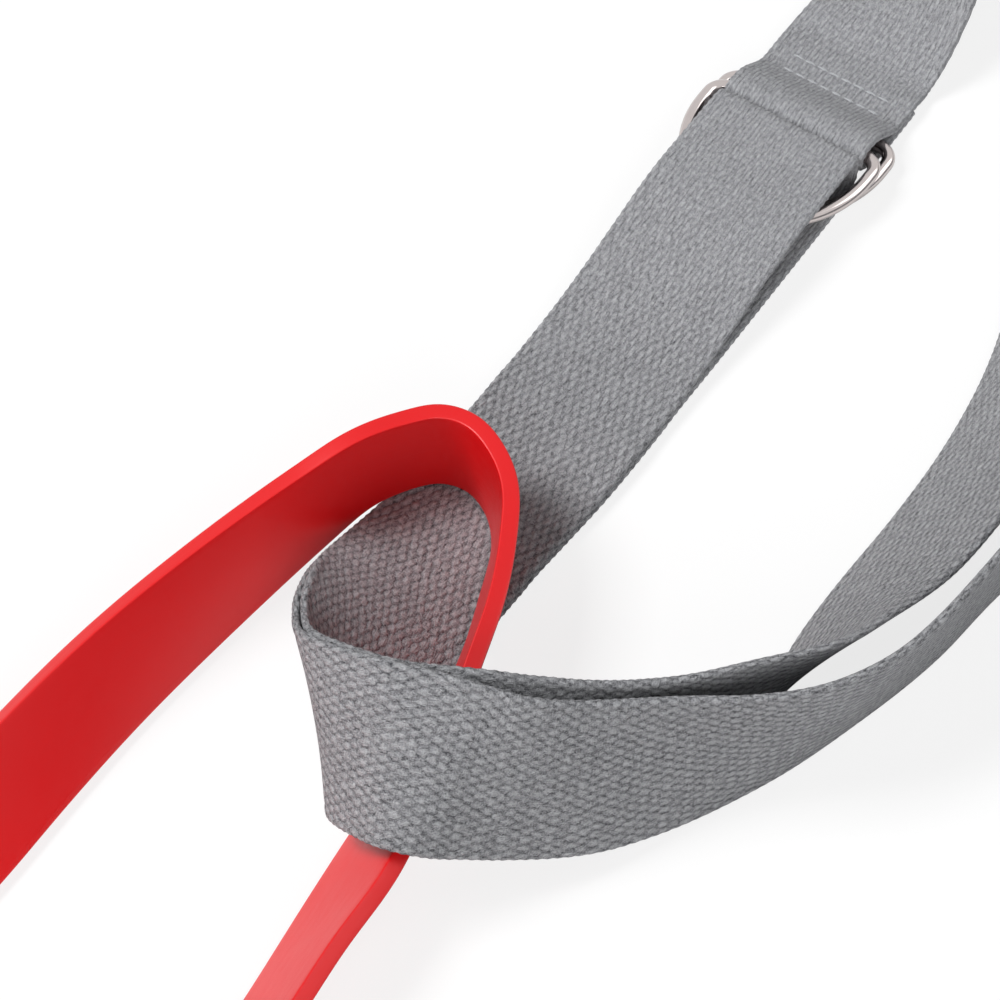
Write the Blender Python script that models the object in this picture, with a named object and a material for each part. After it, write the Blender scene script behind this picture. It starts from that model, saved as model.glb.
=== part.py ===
"""Resistance band harness.

A cotton webbing strap closes into a body loop at a pair of D-rings.
From the rings the webbing runs double, turns over in a bight and runs double again.
A latex loop band is linked through that bight.
The strap's flat double run lies on the floor, and the loops stand on their edges.
"""

import math

import bmesh
import bpy
from mathutils import Matrix, Vector

MM = 0.001
UP = Vector((0, 0, 1))

# Driving sizes, in millimetres
WEBBING_WIDTH = 48.0
WEBBING_THICKNESS = 2.4
LAYER_GAP = 0.3  # between pieces that touch
LAYERS_MEET = -110.0  # where the two layers come together, from the upper bar

RING_WIRE = 4.0
RING_SIDE_ROOM = 2.0  # inside a ring, beside each edge of the webbing
RING_LEG = 8.0  # straight part of each ring's side
RING_BOW = 32.0  # from the side's end to the crown
RING_CORNER = 5.0
RING_STACK_GAP = 0.7  # between the wires of the lower and the upper ring
RING_SPACING = 9.0  # between the two straight bars, along the strap
RING_SIDES = 12  # flats round the wire
RING_TILT = 1.0  # degrees, the upper ring's crown above its bar
RING_PLAY = 1.5  # degrees that each ring can lift

STITCH_LENGTH = 3.0
STITCH_PITCH = 4.2
STITCH_WIDTH = 0.9
STITCH_HEIGHT = 0.5
STITCH_MARGIN = 5.5  # bare webbing at each end of a row
STITCH_ROW_GAP = 6.0  # between the two rows at the rings
FLAP_LENGTH = 28.0  # sewn end of the strap, measured from the upper bar
FLAP_END = 3.5  # webbing past the last row of the sewn fold
HEM_LENGTH = 22.0  # the tail's end, folded on itself
HEM_INSET = 5.0  # webbing past the hem's row of stitches

BAND_WIDTH = 32.0
BAND_THICKNESS = 4.5
BAND_EDGE_ROUND = 1.0

# Where the band pivots on the flat run
BAND_SWING_CENTRE = (-25.0, -90.0, 0.0)

# The buckle lies this far from the origin, along a line at this angle to +X
STRAP_ANGLE = math.radians(56.0)
BUCKLE_DISTANCE = 137.5

# Base colours: linear red, green and blue
GREY_COTTON = (0.29, 0.30, 0.32)
GREY_THREAD = (0.36, 0.37, 0.39)
NICKEL = (0.66, 0.62, 0.60)
RED_LATEX = (0.72, 0.03, 0.03)

HALF_LAYER = (WEBBING_THICKNESS + LAYER_GAP) / 2
FLOOR_LAYER = WEBBING_THICKNESS / 2  # height of the lower layer's middle
SECOND_LAYER = FLOOR_LAYER + 2 * HALF_LAYER
DOUBLE = FLOOR_LAYER + HALF_LAYER  # height of the middle of two flat layers
WIRE_RADIUS = RING_WIRE / 2
LOWER_BAR_HEIGHT = WEBBING_THICKNESS + LAYER_GAP + WIRE_RADIUS
UPPER_BAR_HEIGHT = LOWER_BAR_HEIGHT + RING_WIRE + RING_STACK_GAP
RING_HALF_WIDTH = WEBBING_WIDTH / 2 + RING_SIDE_ROOM + WIRE_RADIUS
RING_DEPTH = RING_LEG + RING_BOW
WRAP_RADIUS = WIRE_RADIUS + LAYER_GAP + WEBBING_THICKNESS / 2
FOLD_TOP = UPPER_BAR_HEIGHT + WRAP_RADIUS
RING_LIFT = RING_DEPTH * math.sin(math.radians(RING_TILT + RING_PLAY))
ARCH_HEIGHT = UPPER_BAR_HEIGHT + RING_LIFT + WRAP_RADIUS
BAND_LIFT = 2 * WEBBING_THICKNESS + 2 * LAYER_GAP + 0.6


def clear_scene():
    for item in list(bpy.data.objects):
        bpy.data.objects.remove(item, do_unlink=True)


def material(name, colour, roughness, metallic=0.0):
    made = bpy.data.materials.new(name)
    made.use_nodes = True
    shader = made.node_tree.nodes["Principled BSDF"]
    shader.inputs["Base Color"].default_value = (*colour, 1.0)
    shader.inputs["Roughness"].default_value = roughness
    shader.inputs["Metallic"].default_value = metallic
    made.diffuse_color = (*colour, 1.0)
    return made


def buckle_matrix():
    """Local +X points from the rings towards the body loop, with the upper bar at 0."""
    turn = Matrix.Rotation(STRAP_ANGLE, 4, "Z")
    place = turn @ Vector((BUCKLE_DISTANCE, 0, 0))
    return Matrix.Translation(place) @ turn


BUCKLE = buckle_matrix()


# A station is a point on each edge, and 1 where two layers run together.
# The first edge is the left one on the flat run, and the upper one past the bight.
def in_buckle(along, height, layer=0.0):
    """A station of webbing that lies straight across the strap's line."""
    half = WEBBING_WIDTH / 2
    left = BUCKLE @ Vector((along, half, height))
    right = BUCKLE @ Vector((along, -half, height))
    return (tuple(left), tuple(right), layer)


def arc_in_buckle(along, height, radius, first, last, steps):
    """Stations round a bar, from one angle to another in degrees."""
    stations = []
    for step in range(steps + 1):
        angle = math.radians(first + (last - first) * step / steps)
        x = along + radius * math.cos(angle)
        z = height + radius * math.sin(angle)
        stations.append(in_buckle(x, z))
    return stations


def flipped(stations):
    return [(second, first, layer) for first, second, layer in stations]


def standing(route, width, thickness, outward, closed=False):
    """Stations of a strip on its lower edge, from x, y, lift and outward lean."""
    stations = []
    last = len(route) - 1
    for i, (x, y, lift, lean) in enumerate(route):
        before = route[i - 1] if closed or i > 0 else route[0]
        after = route[(i + 1) % len(route)] if closed or i < last else route[last]
        along = Vector((after[0] - before[0], after[1] - before[1], 0)).normalized()
        out = along.cross(UP) * outward
        tip = math.radians(lean)
        low = Vector((x, y, lift + abs(math.sin(tip)) * thickness / 2))
        rise = out * math.sin(tip) + UP * math.cos(tip)
        stations.append((tuple(low + rise * width), tuple(low), 0.0))
    return stations


def packed(station):
    first, second, layer = station
    return Vector((*first, *second, layer))


def middle(row):
    return (Vector(row[0:3]) + Vector(row[3:6])) / 2


def across(row):
    return (Vector(row[0:3]) - Vector(row[3:6])).normalized()


def mix(low, high, t, one, two):
    return ((high - t) * one + (t - low) * two) / (high - low)


def between(rows, knots, t):
    """One row of a Catmull-Rom spline with uneven knots."""
    one = [mix(knots[i], knots[i + 1], t, rows[i], rows[i + 1]) for i in range(3)]
    two = [mix(knots[i], knots[i + 2], t, one[i], one[i + 1]) for i in range(2)]
    return mix(knots[1], knots[2], t, two[0], two[1])


def smooth(stations, closed=False, longest=12.0, sharpest=10.0):
    """Rows along a centripetal spline through the stations, closer where it turns."""
    rows = [packed(station) for station in stations]
    if closed:
        rows = [rows[-1], *rows, rows[0], rows[1]]
    else:
        rows = [2 * rows[0] - rows[1], *rows, 2 * rows[-1] - rows[-2]]
    places = [middle(row) for row in rows]
    knots = [0.0]
    for one, two in zip(places, places[1:]):
        knots.append(knots[-1] + math.sqrt(max((two - one).length, 1e-6)))
    made = []
    for i in range(1, len(rows) - 2):
        chord = places[i + 1] - places[i]
        before = places[i] - places[i - 1]
        after = places[i + 2] - places[i + 1]
        turn = max(chord.angle(before), chord.angle(after), across(rows[i]).angle(across(rows[i + 1])))
        count = max(1, math.ceil(chord.length / longest), math.ceil(math.degrees(turn) / sharpest))
        for step in range(count):
            t = knots[i] + (knots[i + 1] - knots[i]) * step / count
            made.append(between(rows[i - 1 : i + 3], knots[i - 1 : i + 3], t))
    if not closed:
        made.append(rows[-2])
    return made


def frames(rows, side=0.0, closed=False):
    """Centre, crosswise direction and outward direction at each row."""
    places = [middle(row) for row in rows]
    last = len(rows) - 1
    made = []
    for i, row in enumerate(rows):
        if closed:
            ahead = places[(i + 1) % len(rows)] - places[i - 1]
        else:
            ahead = places[min(i + 1, last)] - places[max(i - 1, 0)]
        ahead.normalize()
        cross = across(row)
        cross = (cross - ahead * ahead.dot(cross)).normalized()
        outward = ahead.cross(cross)
        place = places[i] + outward * (side * row[6] * HALF_LAYER)
        if side:
            place += UP * sunk(places[i], cross, outward, row[6])
        made.append((place, cross, outward))
    return made


def sunk(place, cross, outward, layer):
    """How far webbing of one or two layers would be under the floor."""
    deep = abs(layer) * HALF_LAYER + WEBBING_THICKNESS / 2
    reach = abs(cross.z) * WEBBING_WIDTH / 2 + abs(outward.z) * deep
    return max(0.0, reach - place.z)


def cut(placed, station):
    """Two pieces with a small gap at the row nearest a station."""
    place = middle(packed(station))
    nearest = min(range(len(placed)), key=lambda i: (placed[i][0] - place).length)
    spot, cross, outward = placed[nearest]
    moved = spot + cross.cross(outward) * LAYER_GAP
    return placed[: nearest + 1], [(moved, cross, outward), *placed[nearest + 1 :]]


def flat_section(width, thickness):
    a, b = width / 2, thickness / 2
    return [(a, b), (-a, b), (-a, -b), (a, -b)]


def eased_section(width, thickness, edge):
    a, b = width / 2, thickness / 2
    right = [(-a, b - edge), (-a, edge - b), (edge - a, -b)]
    left = [(a, edge - b), (a, b - edge)]
    return [(a - edge, b), (edge - a, b), *right, (a - edge, -b), *left]


def round_section(radius, sides):
    turns = [2 * math.pi * i / sides for i in range(sides)]
    return [(radius * math.cos(turn), radius * math.sin(turn)) for turn in turns]


def sweep(name, placed, section, finish, closed=False, origin=(0, 0, 0)):
    """Skins one section along the frames into a closed solid."""
    shape = bmesh.new()
    start = Vector(origin)
    rings = []
    for place, cross, outward in placed:
        points = [place + cross * x + outward * y for x, y in section]
        rings.append([shape.verts.new((point - start) * MM) for point in points])
    pairs = list(zip(rings, rings[1:]))
    if closed:
        pairs.append((rings[-1], rings[0]))
    else:
        shape.faces.new(rings[0])
        shape.faces.new(rings[-1])
    count = len(section)
    for one, two in pairs:
        for i in range(count):
            j = (i + 1) % count
            # One diagonal for both faces, so that twisted layers stay parallel
            far, near = (i, j) if section[i][0] > section[j][0] else (j, i)
            shape.faces.new((one[far], two[near], two[far]))
            shape.faces.new((one[far], one[near], two[near]))
    return finished(name, shape, finish, origin)


def finished(name, shape, finish, origin=(0, 0, 0)):
    bmesh.ops.recalc_face_normals(shape, faces=shape.faces)
    mesh = bpy.data.meshes.new(name)
    shape.to_mesh(mesh)
    shape.free()
    mesh.materials.append(finish)
    mesh.shade_smooth()
    mesh.set_sharp_from_angle(angle=math.radians(40))
    thing = bpy.data.objects.new(name, mesh)
    thing.location = Vector(origin) * MM
    bpy.context.scene.collection.objects.link(thing)
    return thing


def double_run():
    """The flat double run from the rings, the turn of the bight and the run over the band."""
    top = BAND_WIDTH
    return [
        ((-18, 17, DOUBLE), (18, -16, DOUBLE), 1.0),
        ((-31, 1, DOUBLE), (3, -36, DOUBLE), 1.0),
        ((-42, -13, DOUBLE), (-12, -57, DOUBLE), 1.0),
        ((-52, -32, 10), (-27, -77, DOUBLE), 1.0),
        ((-58, -51, 23), (-40, -96, 3), 1.0),
        ((-61, -65, top), (-48, -109, 6), 1.0),
        ((-62, -76, top + 7), (-52, -119, 13), 1.0),
        ((-60, -86, top + 14), (-52, -127, 21), 1.0),
        ((-53, -96, top + 21), (-46, -134, top - 4), 1.0),
        ((-40, -104.5, top + 27.5), (-35, -141.5, top + 0.5), 1.25),
    ]


def load_strand():
    """The outer layer past the bight, down to where it stands on its edge."""
    fall = [
        ((-20.6, -109.6, 61), (-26.3, -141.3, 25.5), 1.3),
        ((-13.5, -111.3, 59.4), (-19.7, -138.6, 20.4), 0.8),
        ((-7.7, -112.8, 58.5), (-13.1, -137.4, 17.7), 0.5),
        ((-0.9, -112.8, 56.4), (-5.8, -135.4, 14.2), 0.2),
        ((4.7, -112.4, 54.6), (0.7, -134, 12), 0.0),
        ((17, -109.9, 50.8), (15.1, -129.4, 7), 0.0),
        ((27.3, -108.3, 48.9), (27.9, -123, 3.2), 0.0),
        ((37.6, -107.5, 48.2), (40.5, -116.3, 1.0), 0.0),
    ]
    route = [
        (51.3, -109.5, 0, -3),
        (68, -98.5, 0, 8),
        (84.5, -85.5, 0, 13),
        (97, -75, 0, 12),
        (108, -64.5, 0, 10),
        (124, -46, 0, 9),
    ]
    return [*fall, *standing(route, WEBBING_WIDTH, WEBBING_THICKNESS, 1)]


def body_loop():
    """The loop worn on the body, standing on its lower edge."""
    route = [
        (154, -17, 0, 7),
        (214, 27, 0, 5),
        (294, 88, 0, 5),
        (374, 163, 0, 5),
        (429, 257, 0, 5),
        (444, 356, 0, 5),
        (401, 436, 0, 5),
        (316, 457, 0, 5),
        (232, 408, 0, 4),
        (172, 322, 0, -5),
        (128, 240, 0, -38),
    ]
    return standing(route, WEBBING_WIDTH, WEBBING_THICKNESS, 1)


def sewn_fold():
    """The strap's end, laid over both bars and brought back under to the stitching."""
    drop = UPPER_BAR_HEIGHT - LOWER_BAR_HEIGHT
    slant = 270 - math.degrees(math.atan2(drop, RING_SPACING))
    crest = [
        in_buckle(36, SECOND_LAYER - 0.5),
        in_buckle(FLAP_LENGTH, SECOND_LAYER),
        in_buckle(19, SECOND_LAYER),
        in_buckle(15.5, SECOND_LAYER + 0.9),
        in_buckle(12, SECOND_LAYER + 3.0),
        in_buckle(8, FOLD_TOP - 2.9),
        in_buckle(4, FOLD_TOP - 0.6),
    ]
    upper = arc_in_buckle(0, UPPER_BAR_HEIGHT, WRAP_RADIUS, 90, slant, 12)
    lower = arc_in_buckle(RING_SPACING, LOWER_BAR_HEIGHT, WRAP_RADIUS, slant, 270, 3)
    flap = [in_buckle(18, FLOOR_LAYER), in_buckle(FLAP_LENGTH, FLOOR_LAYER)]
    return flipped([*crest, *upper, *lower, *flap])


def load_rise():
    """The load layer from the top of the arch, down through both rings, to the floor."""
    clear = -(WRAP_RADIUS + WEBBING_THICKNESS + LAYER_GAP + 0.2)
    return [
        in_buckle(-14, ARCH_HEIGHT),
        in_buckle(clear - 4.8, ARCH_HEIGHT - 0.4),
        in_buckle(clear - 2.2, ARCH_HEIGHT - 2),
        in_buckle(clear - 0.6, ARCH_HEIGHT - 4.4),
        in_buckle(clear, ARCH_HEIGHT / 2),
        in_buckle(clear - 0.9, LOWER_BAR_HEIGHT + 0.2),
        in_buckle(clear - 3.5, FLOOR_LAYER + 1.2),
        in_buckle(-14, FLOOR_LAYER + 0.1),
        in_buckle(-20, FLOOR_LAYER),
        in_buckle(-50, FLOOR_LAYER),
        in_buckle(-80, FLOOR_LAYER),
        in_buckle(LAYERS_MEET, FLOOR_LAYER),
        in_buckle(LAYERS_MEET - 8, DOUBLE, 1.0),
    ]


def return_fall():
    """The return layer from the top of the arch, over both crowns, to the load layer."""
    return [
        in_buckle(-14 - LAYER_GAP, ARCH_HEIGHT),
        in_buckle(-27, ARCH_HEIGHT + 0.1),
        in_buckle(-40, ARCH_HEIGHT + 0.1),
        in_buckle(-50, ARCH_HEIGHT - 1.2),
        in_buckle(-62, ARCH_HEIGHT - 3.9),
        in_buckle(-78, ARCH_HEIGHT - 7.5),
        in_buckle(-94, SECOND_LAYER + 0.9),
        in_buckle(LAYERS_MEET, SECOND_LAYER),
        in_buckle(LAYERS_MEET - 8, DOUBLE, 1.0),
    ]


def tail_strand():
    """The inner layer past the bight, which leans out until it lies almost flat."""
    fall = [
        ((-20.3, -106.6, 60.9), (-26, -138.9, 26), 1.3),
        ((-13.3, -106.9, 59.3), (-19.3, -134.4, 20.9), 0.8),
        ((-7.8, -106.8, 57.3), (-13, -132.1, 17.3), 0.5),
        ((-0.9, -105.8, 54.9), (-5.5, -129, 13.5), 0.2),
        ((4.7, -105.4, 53.2), (1, -126.5, 10.4), 0.0),
        ((17, -104.3, 50.2), (16, -119.3, 4.9), 0.0),
        ((27.5, -102.8, 48.6), (29.5, -112.4, 2.0), 0.0),
        ((37.7, -101.4, 48.2), (42, -105.2, 0.8), 0.0),
        ((49.7, -98.6, 48), (51.5, -95.2, 0.2), 0.0),
    ]
    route = [
        (61, -79, 0, 24),
        (70, -60.5, 0, 36),
        (82.5, -42, 0, 43),
        (97.5, -22, 0, 44),
        (114, 3, 0, 45),
        (128, 31, 0, 48),
        (138, 62, 0, 55),
        (142, 82, 0, 60),
        (143.5, 96, 0, 62),
    ]
    return [*fall, *standing(route, WEBBING_WIDTH, WEBBING_THICKNESS, 1)]


def hemmed(placed):
    """Adds a straight end, turned over on itself and laid back along the strip."""
    place, cross, outward = placed[-1]
    ahead = cross.cross(outward)
    ahead = Vector((ahead.x, ahead.y, 0)).normalized()
    cross = (cross - ahead * ahead.dot(cross)).normalized()
    outward = ahead.cross(cross)
    place = place + ahead * (HEM_LENGTH + 4)
    added = [(place, cross, outward)]
    for step in range(1, 7):
        turn = math.pi * step / 6
        reach = ahead * math.sin(turn) - outward * (1 - math.cos(turn))
        facing = outward * math.cos(turn) + ahead * math.sin(turn)
        added.append((place + reach * HALF_LAYER, cross, facing))
    back = place - outward * (2 * HALF_LAYER) - ahead * HEM_LENGTH
    return [*placed, *added, (back, cross, -outward)]


def stitch_row(name, place, cross, out, finish):
    """One row of stitches: the thread rises at each stitch and dips between them."""
    low, high = STITCH_HEIGHT * 0.3, STITCH_HEIGHT
    count = int((WEBBING_WIDTH - 2 * STITCH_MARGIN) / STITCH_PITCH)
    start = -((count - 1) * STITCH_PITCH + STITCH_LENGTH) / 2
    outline = []
    for i in range(count):
        left = start + i * STITCH_PITCH
        right = left + STITCH_LENGTH
        outline += [(left, low), (left + 0.4, high), (right - 0.4, high), (right, low)]
    outline += [(outline[-1][0], 0), (outline[0][0], 0)]
    along = cross.cross(out) * (STITCH_WIDTH / 2)
    shape = bmesh.new()
    sides = []
    for offset in (along, -along):
        points = [place + cross * x + out * y + offset for x, y in outline]
        sides.append([shape.verts.new(point * MM) for point in points])
        shape.faces.new(sides[-1])
    for i in range(len(outline)):
        j = (i + 1) % len(outline)
        shape.faces.new((sides[0][i], sides[0][j], sides[1][j], sides[1][i]))
    return finished(name, shape, finish)


def fold_stitches(name, along, finish):
    height = SECOND_LAYER + WEBBING_THICKNESS / 2 + LAYER_GAP
    across_strap = BUCKLE.to_3x3() @ Vector((0, 1, 0))
    return stitch_row(name, BUCKLE @ Vector((along, 0, height)), across_strap, UP, finish)


def ring_outline():
    """The ring's wire in its own plane, with the straight bar at x = 0."""
    points = []
    inner = RING_HALF_WIDTH - RING_CORNER
    for step in range(5):
        turn = math.radians(90 * step / 4)
        x = RING_CORNER * (math.cos(turn) - 1)
        points.append((x, inner + RING_CORNER * math.sin(turn)))
    for step in range(13):
        turn = math.radians(180 * step / 12)
        x = -RING_LEG - RING_BOW * math.sin(turn)
        points.append((x, RING_HALF_WIDTH * math.cos(turn)))
    return [*points, *[(x, -y) for x, y in reversed(points[:5])]]


def d_ring(name, along, height, tilt, finish):
    tip = Matrix.Rotation(math.radians(tilt), 4, "Y")
    local = BUCKLE @ Matrix.Translation((along, 0, height)) @ tip
    centre = BUCKLE @ Vector((along, 0, height))
    places = [local @ Vector((x, y, 0)) for x, y in ring_outline()]
    up = local.to_3x3() @ UP
    placed = []
    for i, place in enumerate(places):
        ahead = (places[(i + 1) % len(places)] - places[i - 1]).normalized()
        placed.append((place, up, ahead.cross(up)))
    section = round_section(WIRE_RADIUS, RING_SIDES)
    return sweep(name, placed, section, finish, closed=True, origin=tuple(centre))


def band_route():
    """The latex loop's lower edge: the bight end first, then the far bend."""
    near = [
        (-140, -137, 0, 38),
        (-129.5, -120.5, 0, 37),
        (-107.5, -87.5, 0, 30),
        (-84.5, -57, 1, 20),
        (-61.5, -31.5, 3.5, 9),
        (-48.8, -19.5, BAND_LIFT + 0.2, 3),
        (-36, -12, BAND_LIFT, 0),
        (-24.5, -10, BAND_LIFT, 0),
        (-14, -20, BAND_LIFT, 0),
        (-10, -33, BAND_LIFT, 3),
        (-13.5, -51, BAND_LIFT, 8),
        (-18, -68.5, BAND_LIFT, 11),
        (-24.5, -83.5, 4.2, 14),
        (-56, -135, 0, 41),
        (-68, -155.5, 0, 36),
        (-79.5, -175.5, 0, 36),
    ]
    far = [
        (-101, -209, 0, 37),
        (-139, -246, 0, 37),
        (-200, -279, 0, 35),
        (-285, -303, 0, 29),
        (-381, -316, 0, 22),
        (-500, -312, 0, 14),
        (-610, -285, 0, 12),
        (-705, -232, 0, 12),
        (-770, -150, 0, 12),
        (-783, -60, 0, 12),
        (-753, 20, 0, 12),
        (-690, 50, 0, 12),
        (-628, 32, 0, 12),
        (-588, -20, 0, 12),
        (-535, -80, 0, 14),
        (-470, -135, 0, 18),
        (-395, -177, 0, 24),
        (-310, -200, 0, 30),
        (-236, -206, 0, 35),
        (-179, -178, 0, 38),
    ]
    return [*near, *far]


def latex_band(finish):
    stations = standing(band_route(), BAND_WIDTH, BAND_THICKNESS, -1, closed=True)
    placed = frames(smooth(stations, closed=True), closed=True)
    section = eased_section(BAND_WIDTH, BAND_THICKNESS, BAND_EDGE_ROUND)
    return sweep("latex_band", placed, section, finish, closed=True, origin=BAND_SWING_CENTRE)


def webbing(cotton, thread):
    """The one strap, in three nodes end to end, with its sewing."""
    section = flat_section(WEBBING_WIDTH, WEBBING_THICKNESS)
    rolled = ((131, 152, 20), (89, 168, 2), 0.0)
    load = [*load_rise(), *double_run(), *load_strand()]
    whole = frames(smooth([*load, *body_loop(), rolled, *sewn_fold()]), 1)
    run, loop = cut(whole, load[-1])
    sweep("webbing_load_run", run, section, cotton)
    sweep("webbing_body_loop", loop, section, cotton)
    tail = frames(smooth([*return_fall(), *double_run(), *tail_strand()]), -1)
    tail = hemmed(tail)
    sweep("webbing_return_run", tail, section, cotton)
    place, cross, outward = tail[-1]
    spot = place + cross.cross(-outward) * HEM_INSET
    spot += outward * (WEBBING_THICKNESS / 2 + LAYER_GAP)
    stitch_row("tail_hem_stitches", spot, cross, outward, thread)


def main():
    clear_scene()
    cotton = material("grey_cotton", GREY_COTTON, 0.9)
    thread = material("grey_thread", GREY_THREAD, 0.7)
    nickel = material("polished_nickel", NICKEL, 0.15, 1.0)
    latex = material("red_latex", RED_LATEX, 0.4)
    webbing(cotton, thread)
    outer = FLAP_LENGTH - FLAP_END
    fold_stitches("stitch_row_outer", outer, thread)
    fold_stitches("stitch_row_inner", outer - STITCH_ROW_GAP, thread)
    d_ring("ring_upper", 0, UPPER_BAR_HEIGHT, RING_TILT, nickel)
    d_ring("ring_lower", RING_SPACING, LOWER_BAR_HEIGHT, 0, nickel)
    latex_band(latex)


main()
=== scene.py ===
# %% [markdown]
# # A resistance band harness
# The real object is one strap of grey cotton webbing, two nickel D-rings and one loop of red latex.
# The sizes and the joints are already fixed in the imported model, so this script only gives it its looks.
# The first cell loads that model, which every later piece has to fit.

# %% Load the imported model
import math

import bmesh
import bpy
from mathutils import Matrix, Vector


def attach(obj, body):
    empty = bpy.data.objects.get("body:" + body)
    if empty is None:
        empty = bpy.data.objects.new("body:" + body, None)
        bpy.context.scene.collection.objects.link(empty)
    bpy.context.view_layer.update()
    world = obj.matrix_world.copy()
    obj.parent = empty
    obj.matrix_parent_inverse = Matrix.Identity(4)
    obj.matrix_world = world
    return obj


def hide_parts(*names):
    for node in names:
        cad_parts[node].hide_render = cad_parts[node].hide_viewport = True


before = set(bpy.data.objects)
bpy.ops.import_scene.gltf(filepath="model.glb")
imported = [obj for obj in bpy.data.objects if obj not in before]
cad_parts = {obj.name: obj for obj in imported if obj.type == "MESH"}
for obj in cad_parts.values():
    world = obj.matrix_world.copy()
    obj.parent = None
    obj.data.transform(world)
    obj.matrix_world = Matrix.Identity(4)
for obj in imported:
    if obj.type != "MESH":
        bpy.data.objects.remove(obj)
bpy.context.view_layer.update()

bpy.ops.object.select_all(action="DESELECT")
print("nodes:", sorted(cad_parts))

# %% [markdown]
# ## The camera
# The harness lies on a floor and is seen from the front, well above it.
# A long lens a little over a metre away keeps the strap's two ends at nearly one scale.

# %% Camera
ELEVATION = math.radians(56)
CAMERA_DISTANCE = 1.10
LENS = 144.5
TARGET = Vector((-0.011, -0.024, 0.015))

back = Vector((0, -math.cos(ELEVATION), math.sin(ELEVATION)))
camera_data = bpy.data.cameras.new("camera")
camera_data.lens = LENS
camera_data.sensor_width = 36
camera = bpy.data.objects.new("camera", camera_data)
camera.location = TARGET + back * CAMERA_DISTANCE
camera.rotation_euler = back.to_track_quat("Z", "Y").to_euler()
bpy.context.scene.collection.objects.link(camera)
bpy.context.scene.camera = camera
print("camera at", tuple(round(v, 3) for v in camera.location))

# %% [markdown]
# ## Sizes of the soft pieces
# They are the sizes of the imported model, in millimetres, because a strap is easiest to think of so.
# `MM` turns them into metres at the end.

# %% Sizes
MM = 0.001
UP = Vector((0, 0, 1))
WEBBING_WIDTH, WEBBING_THICKNESS, LAYER_GAP = 48.0, 2.4, 0.3
BAND_WIDTH, BAND_THICKNESS = 32.0, 4.8
HALF_LAYER = (WEBBING_THICKNESS + LAYER_GAP) / 2
FLOOR_LAYER = WEBBING_THICKNESS / 2  # middle of the webbing that lies on the floor
SECOND_LAYER = FLOOR_LAYER + 2 * HALF_LAYER
DOUBLE = FLOOR_LAYER + HALF_LAYER  # shared line of two layers
UPPER_BAR, LOWER_BAR = 9.4, 4.7  # heights of the two rings' straight bars
BAR_SPACING = 9.0  # between those bars, along the strap
WRAP_RADIUS = 3.5  # of the webbing's middle round a bar
FOLD_TOP = UPPER_BAR + WRAP_RADIUS
ARCH = 14.645  # height of the webbing's middle over the rings' crowns
BAND_LIFT = 6.0  # the band's lower edge, where it lies over the webbing
HEM = 22.0
print("two layers and their gap:", 2 * WEBBING_THICKNESS + LAYER_GAP, "mm")

# %% [markdown]
# ## The strap's line
# Webbing bends and twists but never stretches, so its shape is a row of crosswise lines.
# A station gives both ends of such a line, and says whether two layers run together there.
# The strap is straight at the buckle, so stations there only need a distance and a height.

# %% Stations at the buckle
STRAP_ANGLE = math.radians(56)  # of the doubled run on the floor
BUCKLE_DISTANCE = 137.5  # from the origin to the upper ring's bar

turn = Matrix.Rotation(STRAP_ANGLE, 4, "Z")
BUCKLE = Matrix.Translation(turn @ Vector((BUCKLE_DISTANCE, 0, 0))) @ turn


def in_buckle(along, height, layer=0.0):
    """A level station straight across the strap, at a distance from the upper ring's bar."""
    half = WEBBING_WIDTH / 2
    left = BUCKLE @ Vector((along, half, height))
    right = BUCKLE @ Vector((along, -half, height))
    return (tuple(left), tuple(right), layer)


def round_bar(along, height, radius, first, last, steps):
    """Stations on an arc round a bar, from one angle to another."""
    stations = []
    for step in range(steps + 1):
        angle = math.radians(first + (last - first) * step / steps)
        stations.append(in_buckle(along + radius * math.cos(angle), height + radius * math.sin(angle)))
    return stations


def standing(route, width, thickness, outward, closed=False):
    """Stations of a strip on its lower edge, from x, y, lift and outward lean."""
    stations = []
    last = len(route) - 1
    for i, (x, y, lift, lean) in enumerate(route):
        before = route[i - 1] if closed or i > 0 else route[0]
        after = route[(i + 1) % len(route)] if closed or i < last else route[last]
        along = Vector((after[0] - before[0], after[1] - before[1], 0)).normalized()
        out = along.cross(UP) * outward
        tip = math.radians(lean)
        low = Vector((x, y, lift + abs(math.sin(tip)) * thickness / 2))
        rise = out * math.sin(tip) + UP * math.cos(tip)
        stations.append((tuple(low + rise * width), tuple(low), 0.0))
    return stations


print("upper bar at", tuple(round(v, 1) for v in BUCKLE.translation))

# %% [markdown]
# ## A smooth surface through the stations
# Straight steps between stations would show as facets, so a spline is drawn through both edges.
# Its knots grow with the square root of the distance, which keeps tight bends from looping.
# A row holds the same numbers as a station, but rows are less than a millimetre or two apart.

# %% Rows along a strip
def middle(row):
    """The point half way between a row's two edges."""
    return (Vector(row[0:3]) + Vector(row[3:6])) / 2


def across(row):
    """The way from a row's second edge to its first."""
    return (Vector(row[0:3]) - Vector(row[3:6])).normalized()


def mix(low, high, t, one, two):
    """A value at t on the straight line through one at low and two at high."""
    return ((high - t) * one + (t - low) * two) / (high - low)


def between(rows, knots, t):
    """The spline's row at t, from the two rows before it and the two after it."""
    one = [mix(knots[i], knots[i + 1], t, rows[i], rows[i + 1]) for i in range(3)]
    two = [mix(knots[i], knots[i + 2], t, one[i], one[i + 1]) for i in range(2)]
    return mix(knots[1], knots[2], t, two[0], two[1])


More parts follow.
